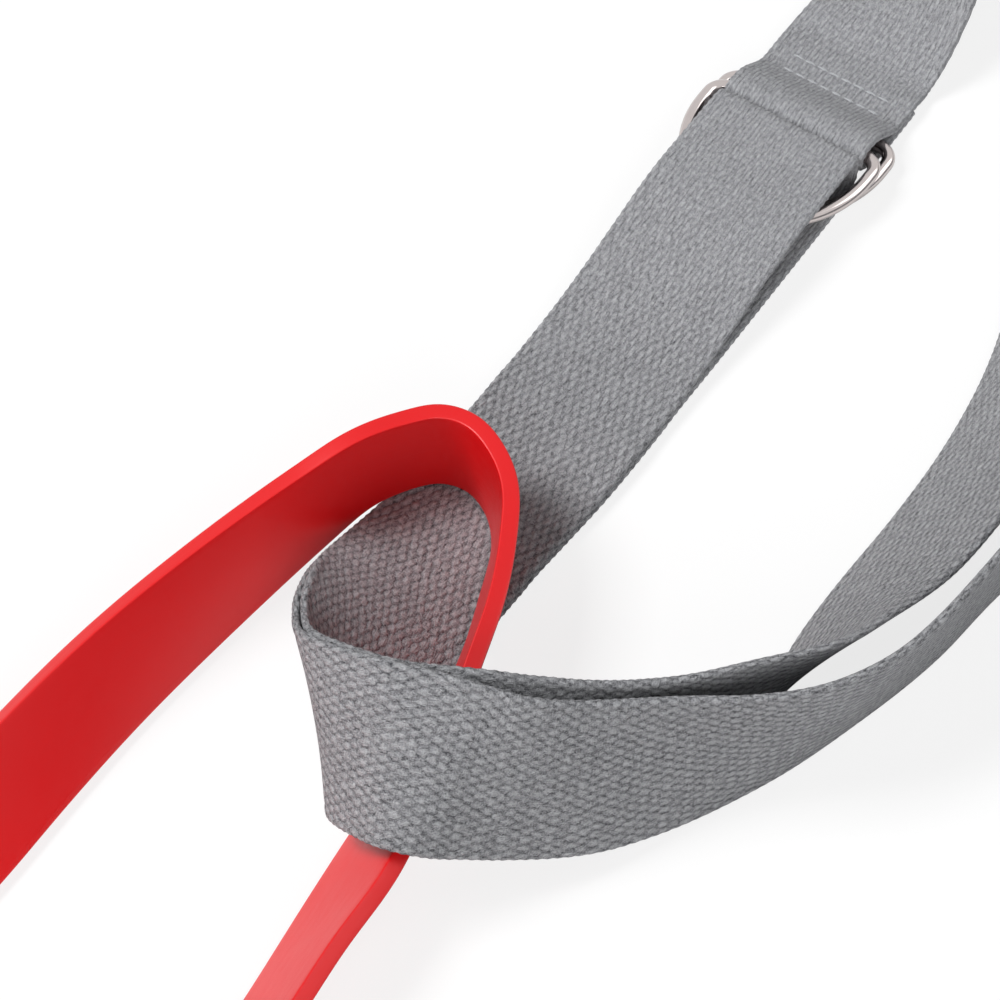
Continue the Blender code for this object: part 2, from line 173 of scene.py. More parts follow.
def smooth(stations, step_length, closed=False):
    """Rows at most a step apart, on a spline through all the stations."""
    rows = [Vector((*first, *second, layer)) for first, second, layer in stations]
    if closed:
        rows = [rows[-1], *rows, rows[0], rows[1]]
    else:
        rows = [2 * rows[0] - rows[1], *rows, 2 * rows[-1] - rows[-2]]
    places = [middle(row) for row in rows]
    knots = [0.0]
    for one, two in zip(places, places[1:]):
        knots.append(knots[-1] + math.sqrt(max((two - one).length, 1e-6)))
    made = []
    for i in range(1, len(rows) - 2):
        count = max(1, math.ceil((places[i + 1] - places[i]).length / step_length))
        for step in range(count):
            t = knots[i] + (knots[i + 1] - knots[i]) * step / count
            made.append(between(rows[i - 1 : i + 3], knots[i - 1 : i + 3], t))
    if not closed:
        made.append(rows[-2])
    return made


print("spline ready")

# %% [markdown]
# ## Layers, and how stiff cloth lies
# Each row becomes a place, the way across the strip there and the way out of its face.
# Where two layers run together, each moves half a layer away from the line that they share.
# Cloth and rubber don't follow every small kink, so rows are also evened out with their neighbours.
# A cloth simulation could do that, but then no station would stay where it was measured.

# %% Layers and evening out
def sunk(place, cross, outward, layer):
    """How far webbing of one or two layers would be under the floor."""
    deep = abs(layer) * HALF_LAYER + WEBBING_THICKNESS / 2
    reach = abs(cross.z) * WEBBING_WIDTH / 2 + abs(outward.z) * deep
    return max(0.0, reach - place.z)


def frames(rows, side=0.0, closed=False):
    """Place, crosswise way and outward way of each row, on the given side of a shared line."""
    places = [middle(row) for row in rows]
    last = len(rows) - 1
    made = []
    for i, row in enumerate(rows):
        if closed:
            ahead = places[(i + 1) % len(rows)] - places[i - 1]
        else:
            ahead = places[min(i + 1, last)] - places[max(i - 1, 0)]
        ahead.normalize()
        cross = across(row)
        cross = (cross - ahead * ahead.dot(cross)).normalized()
        outward = ahead.cross(cross)
        place = places[i] + outward * (side * row[6] * HALF_LAYER)
        if side:
            place += UP * sunk(places[i], cross, outward, row[6])
        made.append((place, cross, outward))
    return made


def relaxed(rows, strength, passes, closed=False):
    """Evens out the rows a little, each by its own strength, as stiff cloth or rubber would lie."""
    for _ in range(passes):
        if closed:
            means = [(rows[i - 1] + rows[(i + 1) % len(rows)]) / 2 for i in range(len(rows))]
        else:
            means = [rows[0], *[(one + two) / 2 for one, two in zip(rows, rows[2:])], rows[-1]]
        rows = [row + (mean - row) * part for row, mean, part in zip(rows, means, strength)]
    return rows


def distances(rows):
    """How far along the strip each row is."""
    along = [0.0]
    for one, two in zip(rows, rows[1:]):
        along.append(along[-1] + (middle(two) - middle(one)).length)
    return along


def ramp(value, low, high):
    """Rises from 0 at low to 1 at high, and stays there."""
    return min(1.0, max(0.0, (value - low) / (high - low)))


print("half a layer is", HALF_LAYER, "mm")

# %% [markdown]
# ## The one strap of webbing
# It starts at the flap sewn round the rings' bars, goes out as the body loop and comes back on its edge.
# From there it runs over the band, turns over in the bight and lies flat to the rings.
# It goes up through both rings, over their crowns and back the same way on top of itself.
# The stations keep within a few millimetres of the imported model's line, so both straps lie as one.

# %% Stations of the doubled run
RISE = -6.4  # the strap goes up through the rings this far from the upper bar

# Both layers, from the straight run at the buckle into the bight
double_run = [
    ((-18, 17, DOUBLE), (18, -16, DOUBLE), 1.0),
    ((-31, 1, DOUBLE), (3, -36, DOUBLE), 1.0),
    ((-42, -13, DOUBLE), (-12, -57, DOUBLE), 1.0),
    ((-52, -32, 10), (-27, -77, DOUBLE), 1.0),
    ((-58, -51, 23), (-40, -96, 3), 1.0),
    ((-61, -65, 32), (-48, -109, 6), 1.0),
    ((-62, -76, 39), (-52, -119, 13), 1.0),
    ((-60, -86, 46), (-52, -127, 21), 1.0),
    ((-53, -96, 53), (-46, -134, 28), 1.0),
    ((-40, -104.5, 59.5), (-35, -141.5, 32.5), 1.25),
]
# The lower layer: from on top of the rings, down through them and along the floor
load_rise = [
    in_buckle(-14, ARCH),
    in_buckle(RISE - 4.0, ARCH - 0.15),
    in_buckle(RISE - 1.2, ARCH - 0.35),
    in_buckle(RISE + 0.55, ARCH - 1.15),
    in_buckle(RISE + 0.9, ARCH - 2.4),
    in_buckle(RISE + 0.35, ARCH - 4.0),
    in_buckle(RISE, ARCH / 2),
    in_buckle(RISE - 0.9, LOWER_BAR + 0.2),
    in_buckle(RISE - 3.5, FLOOR_LAYER + 1.2),
    in_buckle(-14, FLOOR_LAYER + 0.1),
    in_buckle(-20, FLOOR_LAYER),
    in_buckle(-50, FLOOR_LAYER),
    in_buckle(-80, FLOOR_LAYER),
    in_buckle(-110, FLOOR_LAYER),
    in_buckle(-118, DOUBLE, 1.0),
]
# The upper layer: from there over the rings' crowns and down on to the lower one
return_fall = [
    in_buckle(-14 - LAYER_GAP, ARCH),
    in_buckle(-27, ARCH + 0.1),
    in_buckle(-40, ARCH + 0.1),
    in_buckle(-50, ARCH - 1.2),
    in_buckle(-62, ARCH - 3.9),
    in_buckle(-78, ARCH - 7.5),
    in_buckle(-94, SECOND_LAYER + 0.9),
    in_buckle(-110, SECOND_LAYER),
    in_buckle(-118, DOUBLE, 1.0),
]
print("stations of the lower and upper layer:", len(load_rise), "and", len(return_fall))

# %% Stations of the two strands beyond the bight
# The lower layer, as it comes out of the bight and down on to its edge
load_fall = [
    ((-20.6, -109.6, 61), (-26.3, -141.3, 25.5), 1.3),
    ((-13.5, -111.3, 59.4), (-19.7, -138.6, 20.4), 0.8),
    ((-7.7, -112.8, 58.5), (-13.1, -137.4, 17.7), 0.5),
    ((-0.9, -112.8, 56.4), (-5.8, -135.4, 14.2), 0.2),
    ((4.7, -112.4, 54.6), (0.7, -134, 12), 0.0),
    ((17, -109.9, 50.8), (15.1, -129.4, 7), 0.0),
    ((27.3, -108.3, 48.9), (27.9, -123, 3.2), 0.0),
    ((37.6, -107.5, 48.2), (40.5, -116.3, 1.0), 0.0),
]
# On its edge towards the body loop: x, y, lift and lean
load_route = [
    (51.3, -109.5, 0, -3),
    (68, -98.5, 0, 8),
    (84.5, -85.5, 0, 13),
    (97, -75, 0, 12),
    (108, -64.5, 0, 10),
    (124, -46, 0, 9),
]
# Round the body loop, nearly back to the rings
loop_route = [
    (154, -17, 0, 7),
    (214, 27, 0, 5),
    (294, 88, 0, 5),
    (374, 163, 0, 5),
    (429, 257, 0, 5),
    (444, 356, 0, 5),
    (401, 436, 0, 5),
    (316, 457, 0, 5),
    (232, 408, 0, 4),
    (172, 322, 0, -5),
    (128, 240, 0, -38),
]
# The upper layer, as it comes out of the bight beside the other
tail_fall = [
    ((-20.3, -106.6, 60.9), (-26, -138.9, 26), 1.3),
    ((-13.3, -106.9, 59.3), (-19.3, -134.4, 20.9), 0.8),
    ((-7.8, -106.8, 57.3), (-13, -132.1, 17.3), 0.5),
    ((-0.9, -105.8, 54.9), (-5.5, -129, 13.5), 0.2),
    ((4.7, -105.4, 53.2), (1, -126.5, 10.4), 0.0),
    ((17, -104.3, 50.2), (16, -119.3, 4.9), 0.0),
    ((27.5, -102.8, 48.6), (29.5, -112.4, 2.0), 0.0),
    ((37.7, -101.4, 48.2), (42, -105.2, 0.8), 0.0),
    ((49.7, -98.6, 48), (51.5, -95.2, 0.2), 0.0),
]
# On its edge, leaning more and more, to the hem
tail_route = [
    (61, -79, 0, 24),
    (70, -60.5, 0, 36),
    (82.5, -42, 0, 43),
    (97.5, -22, 0, 44),
    (114, 3, 0, 45),
    (128, 31, 0, 48),
    (138, 62, 0, 55),
    (142, 82, 0, 60),
    (143.5, 96, 0, 62),
]

load_strand = [*load_fall, *standing(load_route, WEBBING_WIDTH, WEBBING_THICKNESS, 1)]
body_loop = standing(loop_route, WEBBING_WIDTH, WEBBING_THICKNESS, 1)
tail_strand = [*tail_fall, *standing(tail_route, WEBBING_WIDTH, WEBBING_THICKNESS, 1)]
print("stations beyond the bight:", len(load_strand) + len(body_loop), "and", len(tail_strand))

# %% Stations of the sewn end
# Along the strap, round both bars and back under them as a short flap
slant = 270 - math.degrees(math.atan2(UPPER_BAR - LOWER_BAR, BAR_SPACING))
sewn_fold = [
    in_buckle(36, SECOND_LAYER - 0.5),
    in_buckle(28, SECOND_LAYER),
    in_buckle(19, SECOND_LAYER),
    in_buckle(15.5, SECOND_LAYER + 1.5),
    in_buckle(12, SECOND_LAYER + 3.8),
    in_buckle(8, FOLD_TOP - 2.4),
    in_buckle(4, FOLD_TOP - 0.5),
    *round_bar(0, UPPER_BAR, WRAP_RADIUS, 90, slant, 12),
    *round_bar(BAR_SPACING, LOWER_BAR, WRAP_RADIUS, slant, 270, 3),
    in_buckle(18, FLOOR_LAYER),
    in_buckle(28, FLOOR_LAYER),
]
# The strap comes to the rings from the other side, so that its left and right change places
sewn_fold = [(right, left, layer) for left, right, layer in sewn_fold]
rolled = ((131, 152, 20), (89, 168, 2), 0.0)  # half turned, between its edge and its face
print("stations of the sewn end:", len(sewn_fold))

# %% The strap's two long halves
STEP = 0.69  # longest step between rows
FLAT_RUN, FLAT_RUN_FADE = 115, 30  # from the rings, where nothing is evened out
EVENING_PASSES = 70


def evened(rows, still, fade):
    """Evens out a half, apart from the flat run at its start and a still length at its end."""
    measured = distances(rows)
    strength = [
        0.5 * ramp(at, FLAT_RUN, FLAT_RUN + FLAT_RUN_FADE) * ramp(measured[-1] - at, still, still + fade)
        for at in measured
    ]
    return relaxed(rows, strength, EVENING_PASSES)


load_rows = smooth([*load_rise, *double_run, *load_strand, *body_loop, rolled, *sewn_fold], STEP)
load_side = frames(evened(load_rows, still=150, fade=60), 1)
tail_rows = smooth([*return_fall, *double_run, *tail_strand], STEP)
tail_side = frames(evened(tail_rows, still=1, fade=39), -1)
print("rows:", len(load_side), "and", len(tail_side))

# %% Hem and lengths
HEM_STEPS = 30
FOLD_STEPS = 12


def hemmed(placed):
    """Adds a straight end, turned over on itself and laid back along the strip."""
    place, cross, outward = placed[-1]
    ahead = cross.cross(outward)
    ahead = Vector((ahead.x, ahead.y, 0)).normalized()
    cross = (cross - ahead * ahead.dot(cross)).normalized()
    outward = ahead.cross(cross)
    steps = round((HEM + 4) / STEP)
    added = [(place + ahead * STEP * i, cross, outward) for i in range(1, steps + 1)]
    place = added[-1][0]
    for i in range(1, FOLD_STEPS + 1):
        angle = math.pi * i / FOLD_STEPS
        reach = ahead * math.sin(angle) - outward * (1 - math.cos(angle))
        facing = outward * math.cos(angle) + ahead * math.sin(angle)
        added.append((place + reach * HALF_LAYER, cross, facing))
    start = place - outward * (2 * HALF_LAYER)
    laid = [
        (start - ahead * HEM * i / HEM_STEPS, cross, -outward)
        for i in range(1, HEM_STEPS + 1)
    ]
    return [*placed, *added, *laid]


tail_side = hemmed(tail_side)


def length_of(placed):
    """Length along the middle of a strip."""
    return sum((two[0] - one[0]).length for one, two in zip(placed, placed[1:]))


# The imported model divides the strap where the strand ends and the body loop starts
divide = middle((*load_strand[-1][0], *load_strand[-1][1]))
gaps = [(place - divide).length for place, cross, outward in load_side]
split = gaps.index(min(gaps))
load_run, loop_run = load_side[: split + 1], load_side[split:]
strap_length = length_of(load_side) + length_of(tail_side)
print(f"strap {strap_length:.0f} mm, of which the body loop {length_of(loop_run):.0f} mm")

# %% [markdown]
# ## Skinning a strip
# A grid primitive has the right mesh for a strip once its columns are wrapped round a section.
# Each vertex is carried to its point of the section at its row, and the grid's two sides are merged.
# The texture map counts real millimetres round and along the strip, so the weave keeps its scale.

# %% Strip builder
EDGE_ZONE = 3.0  # of the webbing's width, where its edge is scalloped
SCALLOP_PITCH = 2.75  # along the edge, one scallop for each crosswise yarn that turns back there


def strip(name, placed, section, closed=False, ripple=0.0):
    """Wraps a grid round a section along the rows; ripple scallops its two edges, in millimetres."""
    count = len(section)
    spans = len(placed) if closed else len(placed) - 1
    bpy.ops.object.select_all(action="DESELECT")
    bpy.ops.mesh.primitive_grid_add(x_subdivisions=count, y_subdivisions=spans, size=1)
    made = bpy.context.object
    made.name = made.data.name = name
    ring = [*section, section[0]]
    round_it = [0.0]
    for one, two in zip(ring, ring[1:]):
        round_it.append(round_it[-1] + math.dist(one, two))
    rows = [*placed, placed[0]] if closed else placed
    along = [0.0]
    for one, two in zip(rows, rows[1:]):
        along.append(along[-1] + (two[0] - one[0]).length)
    reach = max(x for x, y in section)
    grid = []
    for vertex in made.data.vertices:
        i = round((vertex.co.x + 0.5) * count)
        j = round((vertex.co.y + 0.5) * spans)
        grid.append((round_it[i], along[j]))
        x, y = ring[i]
        near_edge = max(0.0, (abs(x) - reach + EDGE_ZONE) / EDGE_ZONE)
        x += math.copysign(near_edge * ripple, x) * math.cos(2 * math.pi * along[j] / SCALLOP_PITCH)
        place, cross, outward = rows[j]
        vertex.co = (place + cross * x + outward * y) * MM
    texture_map = made.data.uv_layers[0]
    texture_map.name = "run"
    for loop in made.data.loops:
        texture_map.data[loop.index].uv = grid[loop.vertex_index]
    shape = bmesh.new()
    shape.from_mesh(made.data)
    bmesh.ops.remove_doubles(shape, verts=shape.verts, dist=1e-6)
    if not closed:
        bmesh.ops.holes_fill(shape, edges=shape.edges)
    bmesh.ops.recalc_face_normals(shape, faces=shape.faces)
    shape.to_mesh(made.data)
    shape.free()
    made.data.shade_smooth()
    bpy.ops.object.select_all(action="DESELECT")
    return made


def mirrored(quarter):
    """A whole section from the quarter with positive x and y, from the edge inwards."""
    top = [*quarter, *[(-x, y) for x, y in reversed(quarter) if x > 0]]
    return [*top, *[(-x, -y) for x, y in top]]


print("scallops", SCALLOP_PITCH, "mm apart")

# %% [markdown]
# ## Arithmetic for materials
# A material is worked out by nodes, and long chains of them are easier to read as sums.
# This class wraps a node's output, so that ordinary operators add the nodes that do the sum.

# %% Node arithmetic
class Field:
    """A number, vector or colour inside one material."""

    def __init__(self, tree, socket=None):
        self.tree, self.socket = tree, socket

    def node(self, kind, settings=None, values=None, output=0):
        """Adds any node: its settings first, then a value or a link for each input."""
        made = self.tree.nodes.new("ShaderNode" + kind)
        for name, value in (settings or {}).items():
            setattr(made, name, value)
        for key, value in (values or {}).items():
            if isinstance(value, Field):
                self.tree.links.new(value.socket, made.inputs[key])
            else:
                made.inputs[key].default_value = value
        return Field(self.tree, made.outputs[output])

    def math(self, operation, *values):
        return self.node("Math", {"operation": operation}, dict(enumerate(values)))

    def __add__(self, other):
        return self.math("ADD", self, other)

    def __radd__(self, other):
        return self.math("ADD", other, self)

    def __sub__(self, other):
        return self.math("SUBTRACT", self, other)

    def __rsub__(self, other):
        return self.math("SUBTRACT", other, self)

    def __mul__(self, other):
        return self.math("MULTIPLY", self, other)

    def __rmul__(self, other):
        return self.math("MULTIPLY", other, self)

    def __truediv__(self, other):
        return self.math("DIVIDE", self, other)

    def __rtruediv__(self, other):
        return self.math("DIVIDE", other, self)

    def clamped(self):
        return self.node("Clamp", values={"Value": self})

    def part(self, axis):
        return self.node("SeparateXYZ", {}, {0: self}, axis)

    def vector(self, x, y, z=0.0):
        return self.node("CombineXYZ", {}, {0: x, 1: y, 2: z})

    def noise(self, place, scale, detail=2.0):
        values = {"Vector": place, "Scale": scale, "Detail": detail}
        return self.node("TexNoise", {"noise_dimensions": "3D"}, values)

    def mixed(self, share, low, high):
        values = {0: share, 6: low, 7: high}
        return self.node("Mix", {"data_type": "RGBA"}, values, 2)


def start_material(name):
    """A new material's shader and a field that belongs to it."""
    made = bpy.data.materials.new(name)
    made.use_nodes = True
    shader = made.node_tree.nodes["Principled BSDF"]
    return made, shader, Field(made.node_tree)


def connect(field, shader, name):
    field.tree.links.new(field.socket, shader.inputs[name])


print("node arithmetic ready")

# %% [markdown]
# ## Grey cotton webbing
# This webbing is a thick basket weave: short raised yarns lie along it in a brick pattern.
# Real yarns could be modelled one by one, but thousands of them would make a heavy mesh.
# Here each yarn is a small mound of height in the material, and the gaps between them are painted darker
# as shade.
# Near the rings the strap is pulled flat, so there the yarns show as narrow, long strokes.
# Cotton is dull, and no two yarns took the dye alike, so each one gets its own shade.

# %% Cotton finish
YARN_PITCH = 2.7  # across the webbing
BRICK_PITCH = 6.0  # along the webbing, between yarns of one row
YARN_HALF_WIDTH, YARN_HALF_LENGTH = 1.3, 2.15
PRESSED_NEAR, PRESSED_FAR = 0.02, 0.19  # metres from the rings, where the weave is pulled flat


def yarn(u, v, seed, open_weave):
    """Height of the yarn that is nearest to a point, and that yarn's own random number."""
    column, brick = u / YARN_PITCH, v / BRICK_PITCH
    narrowed = 1.75 - open_weave * 0.75
    drawn_out = 0.5 + open_weave * 0.5
    aside = (u.math("FRACT", column) - 0.5) * (YARN_PITCH / YARN_HALF_WIDTH) * narrowed
    ahead = (u.math("FRACT", brick) - 0.5) * (BRICK_PITCH / YARN_HALF_LENGTH) * drawn_out
    height = 1.0 - aside * aside - ahead * ahead
    cell = u.vector(u.math("FLOOR", column), u.math("FLOOR", brick), seed)
    chance = u.node("TexWhiteNoise", {"noise_dimensions": "3D"}, {"Vector": cell})
    return height, chance


def cotton(name, high, low):
    made, shader, field = start_material(name)
    run = field.node("UVMap", {"uv_map": "run"})
    around, along = run.part(0), run.part(1)

    # The grid of yarns is bent a little by noise, because hand and wear pull every weave askew
    ragged = field.noise(field.vector(around * 1.5, along * 0.55), 1.0, 4.0) - 0.5
    u = around + (field.noise(run, 0.3) - 0.5) * 0.9 + ragged * 1.4
    v = along + (field.noise(run, 0.2) - 0.5) * 1.8 + ragged * 2.6
    place = field.node("TexCoord", output="Object")
    rings = BUCKLE.translation * MM
    gap = field.node("VectorMath", {"operation": "DISTANCE"}, {0: place, 1: rings}, "Value")
    open_weave = ((gap - PRESSED_NEAR) / (PRESSED_FAR - PRESSED_NEAR)).clamped()

    # Two sets of yarns, half a pitch apart both ways, make the brick pattern
    first, shade_one = yarn(u, v, 1.0, open_weave)
    second, shade_two = yarn(u + YARN_PITCH / 2, v + BRICK_PITCH / 2, 2.0, open_weave)
    upper = first.math("GREATER_THAN", first, second)
    second = second * 0.9 - 0.04
    height = first.math("SMOOTH_MAX", first, second, 0.55)
    height = height.math("MAXIMUM", height, 0.0)
    chance = shade_two + (shade_one - shade_two) * upper

    # Strands slant along each twisted yarn, and loose fibres and lint lie over everything. In the colour,
    # strands and fibres are painted highlights on the yarns, over their own fibre tone
    strands = u.math("SINE", u * 4.2 + v * 3.0 + chance * 6.0 + ragged * 8.0)
    fibre = field.noise(field.vector(u * 2.6 + v * 1.5, v * 0.7), 1.0, 4.0)
    lint = field.noise(run, 2.0, 6.0)
    cloud = field.noise(run, 0.12, 3.0)
    streak = field.noise(field.vector(around * 2.4, along * 0.4), 1.0, 3.0)
    broken = field.noise(run, 0.75, 3.0)

    # Relief feeds the bump and light the colour, and both fade where the weave is pulled flat
    depth = open_weave * 0.6 + 0.4
    yarns = height * (0.75 + chance * 0.4) + strands * 0.07 + (fibre - 0.5) * 0.9
    relief = yarns * depth + (lint * 0.6 + broken * 0.5) * depth + streak * 0.5
    # Painted shade: the colour darkens with the yarns' height, so the gaps between the yarns are darker
    light = height * 0.6 + (chance - 0.5) * 0.16 + strands * 0.06 + (fibre - 0.5) * 1.5 - 0.35
    light = 0.64 + light * depth + (lint - 0.5) * (0.5 + open_weave * 0.8)
    light = light + (cloud - 0.5) * 0.15 + (streak - 0.5) * 0.6 + (broken - 0.5) * 0.8
    connect(field.mixed(light.clamped(), low, high), shader, "Base Color")
    bump = field.node("Bump", {}, {"Height": relief, "Distance": 0.0010, "Strength": 1.0})
    connect(bump, shader, "Normal")
    shader.inputs["Roughness"].default_value = 0.92
    shader.inputs["Specular IOR Level"].default_value = 0.25
    shader.inputs["Sheen Weight"].default_value = 0.12
    shader.inputs["Sheen Roughness"].default_value = 0.6
    return made


# The dark colour is what the painted shade in the gaps between yarns reaches
grey_cotton = cotton("grey_cotton", (0.465, 0.47, 0.49, 1), (0.06, 0.061, 0.07, 1))
print("cotton material has", len(grey_cotton.node_tree.nodes), "nodes")

# %% [markdown]
# ## The webbing, piece by piece
# A woven edge is a tight roll, a little thinner than the body of the strap, beside a shallow groove.
# One strap shows as two pieces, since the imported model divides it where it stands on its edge.
# The body loop bends gently, so it needs only every second row, apart from its sewn fold.

# %% Webbing
EDGE_RIPPLE = 0.13
FOLD_ROWS = 120  # at the sewn end, which all stay

half, thick = WEBBING_WIDTH / 2, WEBBING_THICKNESS / 2
webbing_quarter = [
    (half, 0.0),
    (half - 0.1, thick * 0.45),
    (half - 0.45, thick * 0.8),
    (half - 1.1, thick * 0.96),
    (half - 1.9, thick),
    (half - 2.6, thick * 0.93),
    (half - 3.1, thick * 0.84),
    (half - 3.7, thick * 0.95),
    (half - 5.0, thick),
    (half - 12.0, thick),
    (half - 18.0, thick),
]
webbing_section = mirrored(webbing_quarter)


def webbing(name, placed, *nodes):
    made = strip(name, placed, webbing_section, ripple=EDGE_RIPPLE)
    made.data.materials.append(grey_cotton)
    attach(made, "webbing")
    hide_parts(*nodes)
    print(name, len(made.data.polygons), "faces,", round(length_of(placed)), "mm")


# The return run is turned end for end, so that both runs are one unbroken piece over the rings
both_runs = [(place, cross, -outward) for place, cross, outward in reversed(tail_side)] + load_run
webbing("woven_runs", both_runs, "webbing_load_run", "webbing_return_run")
sparse = [row for i, row in enumerate(loop_run) if i % 2 == 0 or i > len(loop_run) - FOLD_ROWS]
webbing("woven_body_loop", sparse, "webbing_body_loop")

# %% [markdown]
# ## Sewing
# The flap round the rings is closed by two rows of lockstitch, and the strap's end by one.
# A stitch is a short twisted cord that bulges in the middle and dives into the cloth at both ends.
# One is shaped from a sphere, and every other stitch is its copy.

# %% Thread finish
PLY_TURNS = 9000  # radians of twist to a metre


def thread(name):
    made, shader, field = start_material(name)
    place = field.node("TexCoord", output="Object")
    ply = place.part(0) * PLY_TURNS + place.part(1) * PLY_TURNS
    twist = field.math("SINE", ply) * 0.5 + 0.5
    # Painted shade: the colour darkens in the grooves between the thread's plies, following the same twist
    # as the bump
    shade = field.mixed(twist, (0.30, 0.31, 0.33, 1), (0.50, 0.51, 0.53, 1))
    connect(shade, shader, "Base Color")
    bump = field.node("Bump", {}, {"Height": twist, "Distance": 0.0001})
    connect(bump, shader, "Normal")
    shader.inputs["Roughness"].default_value = 0.7
    shader.inputs["Sheen Weight"].default_value = 0.2
    return made


grey_thread = thread("grey_thread")
print("one turn of the thread's twist:", round(2000 * math.pi / PLY_TURNS, 2), "mm")

# %% One stitch
STITCH_LENGTH, STITCH_WIDTH, STITCH_HEIGHT = 3.9, 0.8, 0.5

bpy.ops.object.select_all(action="DESELECT")
bpy.ops.mesh.primitive_uv_sphere_add(segments=20, ring_count=14, radius=1)
one_stitch = bpy.context.object
for vertex in one_stitch.data.vertices:
    x, y, z = vertex.co
    # The sphere's poles become the two ends that go into the cloth
    fullness = 1.0 - abs(z) ** 4 * 0.35
    vertex.co = (
        y * STITCH_WIDTH / 2 * fullness * MM,
        z * STITCH_LENGTH / 2 * MM,
        (x * 0.5 + 0.3 - z * z * 0.55) * STITCH_HEIGHT * fullness * MM,
    )
one_stitch.data.shade_smooth()
bpy.ops.object.select_all(action="DESELECT")
print("one stitch has", len(one_stitch.data.polygons), "faces")

# %% Rows of stitches
STITCH_PITCH = 4.2  # from one stitch to the next
STITCH_COUNT = 8
STITCH_LIFT = 0.12  # above the cloth's face
OUTER_ROW, INNER_ROW = 24.5, 18.5  # from the upper ring's bar
HEM_ROW = 5.0  # from the strap's cut end, inside its hem


def stitch_row(name, place, cross, out, node):
    """A row of copies of the one stitch, joined into one piece, at the place of a packed row."""
    cross, out = cross.normalized(), out.normalized()
    ahead = cross.cross(out)
    turned = Matrix((ahead, cross, out)).transposed().to_4x4()
    shape = bmesh.new()
    for i in range(STITCH_COUNT):
        copy = one_stitch.data.copy()
        offset = (i - (STITCH_COUNT - 1) / 2) * STITCH_PITCH
        copy.transform(Matrix.Translation((place + cross * offset) * MM) @ turned)
        shape.from_mesh(copy)
        bpy.data.meshes.remove(copy)
    bmesh.ops.recalc_face_normals(shape, faces=shape.faces)
    mesh = bpy.data.meshes.new(name)
    shape.to_mesh(mesh)
    shape.free()
    mesh.shade_smooth()
    made = bpy.data.objects.new(name, mesh)
    bpy.context.scene.collection.objects.link(made)
    mesh.materials.append(grey_thread)
    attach(made, "webbing")
    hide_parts(node)


crosswise = BUCKLE.to_3x3() @ Vector((0, 1, 0))
sewn_height = SECOND_LAYER + WEBBING_THICKNESS / 2 + STITCH_LIFT
for along, name in ((OUTER_ROW, "outer"), (INNER_ROW, "inner")):
    spot = BUCKLE @ Vector((along, 0, sewn_height))
    stitch_row(f"thread_{name}", spot, crosswise, UP, f"stitch_row_{name}")

place, cross, outward = tail_side[-1]
spot = place + cross.cross(-outward) * HEM_ROW + outward * (WEBBING_THICKNESS / 2 + STITCH_LIFT)
stitch_row("thread_hem", spot, cross, outward, "tail_hem_stitches")
bpy.data.objects.remove(one_stitch)
print("three rows of", STITCH_COUNT, "stitches")

# %% [markdown]
# ## The two D-rings
# Each ring is one round nickel-plated wire, bent to a straight bar, two corners and a deep bow.
# A curve with a round bevel would do too, but its seam and its mesh need more care.
# A torus is already a closed round wire, so its rings of vertices only move to the D's outline.
# The plating is smooth and bright, with a slight haze from handling.

# %% Nickel finish
def nickel(name):
    made, shader, field = start_material(name)
    place = field.node("TexCoord", output="Object")
    haze = field.noise(place, 260.0, 4.0)
    tint = field.mixed(haze, (0.50, 0.45, 0.44, 1), (0.58, 0.53, 0.515, 1))
    connect(tint, shader, "Base Color")
    connect(0.07 + field.noise(place, 900.0, 3.0) * 0.16, shader, "Roughness")
    shader.inputs["Metallic"].default_value = 1.0
    return made


polished_nickel = nickel("polished_nickel")
print("nickel material has", len(polished_nickel.node_tree.nodes), "nodes")

# %% Rings
WIRE_RADIUS = 2.0
WIRE_SIDES = 24
RING_HALF_WIDTH = 28.0  # to the wire's middle
RING_CORNER = 5.0  # radius between the bar and each leg
RING_LEG, RING_BOW = 8.0, 32.0  # depth of the straight legs, and of the bow beyond them
BAR_STEPS, CORNER_STEPS, LEG_STEPS, BOW_STEPS = 6, 12, 4, 36


def d_outline():
    """The wire's middle line in the ring's plane, with the straight bar at x = 0."""
    inner = RING_HALF_WIDTH - RING_CORNER
    side = []
    for i in range(BAR_STEPS):
        side.append((0.0, inner * i / BAR_STEPS))
    for i in range(CORNER_STEPS + 1):
        angle = math.radians(90 * i / CORNER_STEPS)
        side.append((RING_CORNER * (math.cos(angle) - 1), inner + RING_CORNER * math.sin(angle)))
    for i in range(1, LEG_STEPS):
        side.append((-RING_CORNER - (RING_LEG - RING_CORNER) * i / LEG_STEPS, RING_HALF_WIDTH))
    for i in range(BOW_STEPS + 1):
        angle = math.radians(90 * i / BOW_STEPS)
        side.append((-RING_LEG - RING_BOW * math.sin(angle), RING_HALF_WIDTH * math.cos(angle)))
    return [*side, *[(x, -y) for x, y in reversed(side[1:-1])]]


